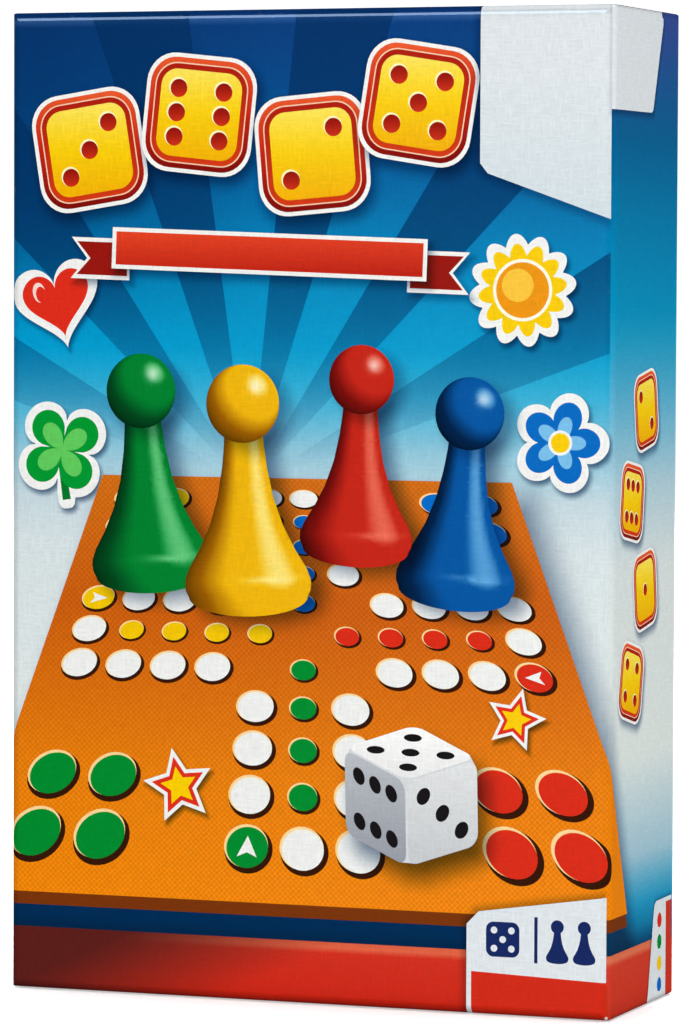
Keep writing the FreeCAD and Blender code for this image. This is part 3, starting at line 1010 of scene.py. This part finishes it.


# A band of finer mesh for the painted highlight glow under the top edge.
painted_glow_band = bar(-FOLD, 195.8, FOLD, 199.2)
layers = [Layer(lid_net(), sky), Layer(painted_glow_band, sky, grain=0.7)]
SUN = np.array([-12.0, 104.0])
RAY_PITCH, RAY_HALF, RAY_LENGTH = 26, 6, 140
for spoke in range(-1, 8):
    edges = [math.radians(spoke * RAY_PITCH + side) for side in (-RAY_HALF, RAY_HALF)]
    rim = [SUN + RAY_LENGTH * np.array([math.cos(edge), math.sin(edge)]) for edge in edges]
    layers.append(Layer([SUN, *rim], ray))
for sign in (-1, 1):
    wall = bar(sign * FOLD, -OVERLAP, sign * (REACH + 1), PRINT_TOP)
    layers.append(Layer(wall, fade(SIDE_GROUND)))

layers += sticker(-54, 141, 14, 8.6, heart(1.12), [
    (heart(0.86), SCARLET),
    (ring(0.16) * [1, 1.5] + [-0.42, 0.34], (250, 214, 204)),
    (ring(0.13) * [1, 1.5] + [-0.38, 0.28], SCARLET),
])
layers += sticker(46, 144, 8, 11, petals(12, 0.82, 0.2), [
    (petals(12, 0.62, 0.22), SUNNY),
    (ring(0.56), (250, 246, 226)),
    (ring(0.5), (238, 150, 10)),
    (ring(0.3) + [-0.08, 0.1], (250, 196, 60)),
])
layers += sticker(-53, 111, -10, 9.6, polar(clover_edge), [
    ([[-0.07, -0.2], [0.2, -1.06], [0.38, -1.0], [0.08, -0.2]], (0, 118, 40)),
    (petals(4, 0.3, 0.66, 0.55, math.pi / 4) * 0.98, (0, 150, 48)),
    (petals(4, 0.1, 0.56, 0.9, math.pi / 4), (96, 200, 92)),
])
layers += sticker(54, 114, 0, 9.2, petals(5, 0.74, 0.36, 0.8), [
    (petals(5, 0.5, 0.4, 0.8), (0, 104, 192)),
    (petals(5, 0.22, 0.36, 1.2), (120, 190, 232)),
    (ring(0.27), STICKER_EDGE),
    (ring(0.21), SUNNY),
])
FRONT_TILE = 20.5
FRONT_TILES = ((-47, 172, 9, 3), (-23, 179, -6, 6), (1.5, 171, 5, 2), (24, 181, -9, 5))
for u, v, degrees, number in FRONT_TILES:
    layers += tile(u, v, degrees, FRONT_TILE, number)

NEAR_V, FAR_V, NEAR_HALF, FAR_HALF = 20.0, 106.0, 76.0, 44.0
shrink = (NEAR_HALF - FAR_HALF) / (NEAR_HALF + FAR_HALF)
near_side, far_side = (1 - shrink) * NEAR_V, (1 + shrink) * FAR_V
WIDE = NEAR_HALF * (1 - shrink)
BASE_V, RISE_V = (far_side + near_side) / 2, (far_side - near_side) / 2


def lying(points):
    """The drawn board lies flat in the picture, its far side narrower."""
    a, b = np.asarray(points, float).T
    away = 1 + shrink * b
    return np.stack([WIDE * a / away, (BASE_V + RISE_V * b) / away], 1)


def star(radius):
    """A star of five points."""
    turns = np.arange(10) * np.pi / 5 + np.pi / 2
    reach = np.where(np.arange(10) % 2 == 0, 1.0, 0.48) * radius
    return on_circle(turns) * reach[:, None]


BOARD_THICKNESS = 2.6
drawn_ground = fade([
    (NEAR_V, (240, 134, 8)),
    (46, (230, 126, 10)),
    (80, (200, 92, 14)),
    (FAR_V, (208, 108, 20)),
])
rim = lying(bar(-1, -1, 1, 1))
rim[:2, 1] -= BOARD_THICKNESS
layers.append(Layer(rim, (120, 52, 10), shadow=(3, -5, 7, 0.7)))
layers += ludo_plan(lying, drawn_ground)
foot = bar(-REACH - 1, -50, REACH + 1, BAND_TOP)
layers.append(Layer(foot, band, shadow=(0, 1.2, 3.5, 0.45), grain=2.5))
lit_edge = bar(-REACH - 1, 10.2, REACH + 1, BAND_TOP)
layers.append(Layer(lit_edge, band, grain=0.6))

RIBBON_PLACE = (-8, 151, -2)
RIBBON_EDGE = (242, 241, 236)
RIBBON_HALF = 34.0
ribbon = bar(-RIBBON_HALF, -4.2, RIBBON_HALF, 4.2)
for sign in (-1, 1):
    tail = np.array([[30, -6.5], [43, -6.5], [39.5, -2.3], [43, 1.9], [30, 1.9]]) * [sign, 1]
    fold = (tail - [RIBBON_HALF * sign, -2.3]) * [0.86, 0.8] + [RIBBON_HALF * sign, -2.3]
    layers.append(Layer(placed(tail, *RIBBON_PLACE), RIBBON_EDGE, shadow=(0.8, -1, 1.5, 0.5)))
    layers.append(Layer(placed(fold, *RIBBON_PLACE), (150, 22, 14)))
layers.append(Layer(placed(ribbon, *RIBBON_PLACE), RIBBON_EDGE, shadow=(0.8, -1.2, 1.8, 0.55)))
silk = upward(RIBBON_PLACE[1], 5, (186, 30, 16), (230, 70, 36))
layers.append(Layer(placed(ribbon * [0.975, 0.8], *RIBBON_PLACE), silk))
layers += drawn_pawn(-33, 86, 46, 4, ((0, 70, 28), (0, 128, 46), (120, 214, 140)))
layers += drawn_pawn(32, 84, 44, -5, ((0, 34, 74), (0, 84, 160), (110, 180, 230)))
layers += drawn_pawn(11, 92, 42, -2, ((120, 12, 8), (196, 36, 20), (240, 120, 96)))
layers += drawn_pawn(-12, 82, 48, 2, ((150, 90, 0), (240, 182, 6), (255, 238, 150)))
layers += drawn_die(22, 46, 19)
for u, v, degrees, size in ((-27, 43, 12, 6.6), (45, 59, -14, 5.4)):
    parts = [(star(0.92), SCARLET), (star(0.62), SUNNY)]
    layers += sticker(u, v, degrees, size, star(1.2), parts)

TAG, TAG_LOW, TAG_PAINTED_SHADE, SIGN = (222, 228, 231), (210, 222, 227), (200, 206, 209), (22, 40, 96)


def die_sign(u, v, size):
    """A small flat picture of a die on a tag."""
    block = [Layer(placed(rounded(1, 1, 0.22), u, v, 0, size), SIGN)]
    spots = [ring(0.1, 16) + np.array(pip) * 0.26 for pip in PIPS[5]]
    return block + [Layer(placed(spot, u, v, 0, size), TAG) for spot in spots]


def pawn_sign(u, v, height):
    """A small flat picture of a pawn on a tag."""
    return [Layer(placed(shape, u, v, 0, height), SIGN) for shape in pawn_shape()]


tag = [[37, PRINT_TOP], [37, 169], [38.6, 167], [FOLD, 158], [FOLD, PRINT_TOP]]
# Painted shade: a darker line across the tag just under the highlight of its top edge.
tag_paint = fade([(157, TAG_LOW), (186, TAG), (197.8, TAG), (198.7, TAG_PAINTED_SHADE), (199.6, TAG)])
layers.append(Layer(tag, tag_paint, shadow=(-0.6, -0.8, 1.6, 0.4), grain=2.0))
lower_corner = [[25.2, 0], [26.1, 0.4], [26.6, 1.3]]
upper_corner = [[32.8, 18], [32.7, 19.2], [31.8, 19.9], [31.8, 22.5]]
side_tag = np.array([[0, 0], *lower_corner, *upper_corner, [0, 22.5]]) + [SIDE, 179.5]
side_tag[[0, -1], 0] = FOLD
layers.append(Layer(side_tag, TAG, shadow=(0.4, -0.7, 1.3, 0.5)))
info = [[35, -OVERLAP], [35, 18], [37.5, 20.6], [FOLD, 24.5], [FOLD, -OVERLAP]]
layers.append(Layer(info, TAG, shadow=(-0.6, 0.6, 1.4, 0.35)))
layers.append(Layer([[36, -OVERLAP], [FOLD, -OVERLAP], [FOLD, 7.6], [36, 8.6]], (208, 40, 20)))
layers.append(Layer(bar(49.2, 10.8, 49.9, 20), SIGN))
layers += die_sign(42.6, 15.2, 7)
layers += pawn_sign(54, 11.6, 8.2) + pawn_sign(59.6, 11.6, 8.2)
SIDE_TILE = 13.5
SIDE_TILES = ((14, 66, 78, 4), (23, 84, 98, 1), (14, 102, 82, 6), (23, 120, 99, 2))
for across, v, degrees, number in SIDE_TILES:
    layers += tile(SIDE + across, v, degrees, SIDE_TILE, number)
side_corner = [[30.4, 18.4], [30.9, 19.6], [32, 20.2]]
side_info = np.array([[25.8, -OVERLAP], *side_corner, [43, 20.4], [43, -OVERLAP]]) + [SIDE, 0]
layers.append(Layer(side_info, TAG, shadow=(-0.4, 0.4, 1.0, 0.35)))
side_strip = np.array([[38.6, -OVERLAP], [43, -OVERLAP], [43, 19.5], [38.6, 19.4]]) + [SIDE, 0]
layers.append(Layer(side_strip, (203, 54, 36)))
for v, colour in zip((2.9, 7.3, 11.7, 16.1), (BLUE, YELLOW, GREEN, RED)):
    layers.append(Layer(ring(1.5) + [SIDE + 34.3, v], colour))

worn_tip = np.array([[-0.7, 0.1], [-0.2, -0.6], [0.5, -0.4], [0.6, 0.5], [0.1, 0.9], [-0.4, 0.6]]) * 0.7
layers.append(Layer(worn_tip + [FOLD, MIDDLE - TALL - QUARTER / 2 - 0.2], (222, 206, 198)))

cover = printed_sheet("lid_wrap_print", layers, lay_wrap, spacing=1.6, folds=lid_folds())
cover_ink = printed_paper("cover_ink", THREAD_PITCH, emboss=0.22, matt=0.36, tones=THREAD_TONES)
new_piece("lid_wrap_print", cover, "lid", cover_ink)

# Stage: a white floor that sweeps up into a round white wall, with soft boxes all round. Floor and wall
# neither light the box nor mirror in its varnish, as if dark flags stood between them.
scene = bpy.context.scene
scene.view_settings.view_transform = "Standard"
FLOOR_Z = -0.0002
SWEEP_INNER, SWEEP_OUTER, WALL_TOP = 3.2, 4.6, 1.6
GLOW_REACH, GLOW = (0.25, 0.9), (0.42, 0.95)
profile = [(radius, 0.0) for radius in (0.001, 0.3, 1.0, 2.0)]
sweep = SWEEP_OUTER - SWEEP_INNER
for turn in np.linspace(0, math.pi / 2, 9):
    profile.append((SWEEP_INNER + sweep * math.sin(turn), sweep * (1 - math.cos(turn))))
profile.append((SWEEP_OUTER, WALL_TOP))
SPOKES = 72
points = []
for radius, height in profile:
    points.extend(np.column_stack([ring(radius, SPOKES), np.full(SPOKES, height + FLOOR_Z)]))
sweep_mesh = new_mesh("studio", points, ring_faces(len(profile), SPOKES))
studio = bpy.data.objects.new("studio", sweep_mesh)
scene.collection.objects.link(studio)
paint = Recipe("studio_white", {"Roughness": 0.9, "Specular IOR Level": 0.0})
white = paint.ramp(paint.noise(3, 2), [(0.3, (226, 226, 226)), (0.7, (232, 232, 232))])
away = paint.add("VectorMath", {0: paint.place}, operation="LENGTH").outputs["Value"]
glow = paint.add("MapRange", dict(enumerate((away, *GLOW_REACH, *GLOW)))).outputs[0]
studio_white = paint.finish(base_color=white, emission_color=(1, 1, 1, 1), emission_strength=glow)
dress(studio, studio_white, smooth=True)
studio.visible_glossy = studio.visible_diffuse = studio.visible_shadow = False
paint.material.cycles.emission_sampling = "NONE"

world = bpy.data.worlds.new("studio")
scene.world = world
world.use_nodes = True
world.node_tree.nodes["Background"].inputs["Color"].default_value = (0.02, 0.02, 0.02, 1)
AIM = Vector((0, 0, 0.1))


def soft_box(name, place, width, height, power, mirrored=False):
    """A rectangular lamp that lights the box and shows in its varnish only where it is mirrored."""
    light = bpy.data.lights.new(name, "AREA")
    light.shape = "RECTANGLE"
    light.size, light.size_y, light.energy = width, height, power
    lamp = bpy.data.objects.new(name, light)
    scene.collection.objects.link(lamp)
    lamp.location = place
    lamp.rotation_euler = (AIM - Vector(place)).to_track_quat("-Z", "Y").to_euler()
    lamp.visible_camera = False
    lamp.visible_glossy = mirrored
    return lamp


soft_box("key", (-0.4, -1.9, 1.0), 1.0, 0.6, 4.5)
soft_box("fill", (0.1, -2.2, 0.05), 2.0, 1.2, 34.5)
soft_box("side", (1.4, -0.4, 0.15), 0.9, 0.9, 22.0)
soft_box("left", (-1.7, 0.0, 0.3), 0.9, 0.9, 25.0)
soft_box("back", (-0.5, 1.9, 0.8), 1.2, 1.0, 45.0)
soft_box("top", (0.0, 0.15, 1.7), 1.0, 1.0, 27.0)
strip = soft_box("strip", (-0.4, -1.17, 0.8), 1.2, 0.55, 21.0, mirrored=True)
strip.data.color = (0.52, 0.71, 1.0)
strip.visible_diffuse = False

# Camera: a long lens about a metre from the box. Its turn, rise and roll were fitted to the outline of
# the box in the photograph, and to the fold between the front and the side.
YAW, RISE, ROLL = math.radians(20.727), math.radians(2.756), math.radians(0.2257)
DISTANCE = 1031.62 * MM
TARGET = Vector((-0.484, -0.5, 98.24)) * MM
FOCAL_PIXELS, LONG_SIDE, SENSOR = 5038.14, 1025.0, 36.0
back = Vector((math.sin(YAW) * math.cos(RISE), -math.cos(YAW) * math.cos(RISE), math.sin(RISE)))
level = Vector((math.cos(YAW), math.sin(YAW), 0))
upright = back.cross(level)
right = level * math.cos(ROLL) + upright * math.sin(ROLL)
up = upright * math.cos(ROLL) - level * math.sin(ROLL)
lens = bpy.data.cameras.new("camera")
lens.sensor_width = SENSOR
lens.lens = SENSOR * FOCAL_PIXELS / LONG_SIDE
camera = bpy.data.objects.new("camera", lens)
scene.collection.objects.link(camera)
turn = Matrix((right, up, back)).transposed().to_4x4()
camera.matrix_world = Matrix.Translation(TARGET + back * DISTANCE) @ turn
scene.camera = camera
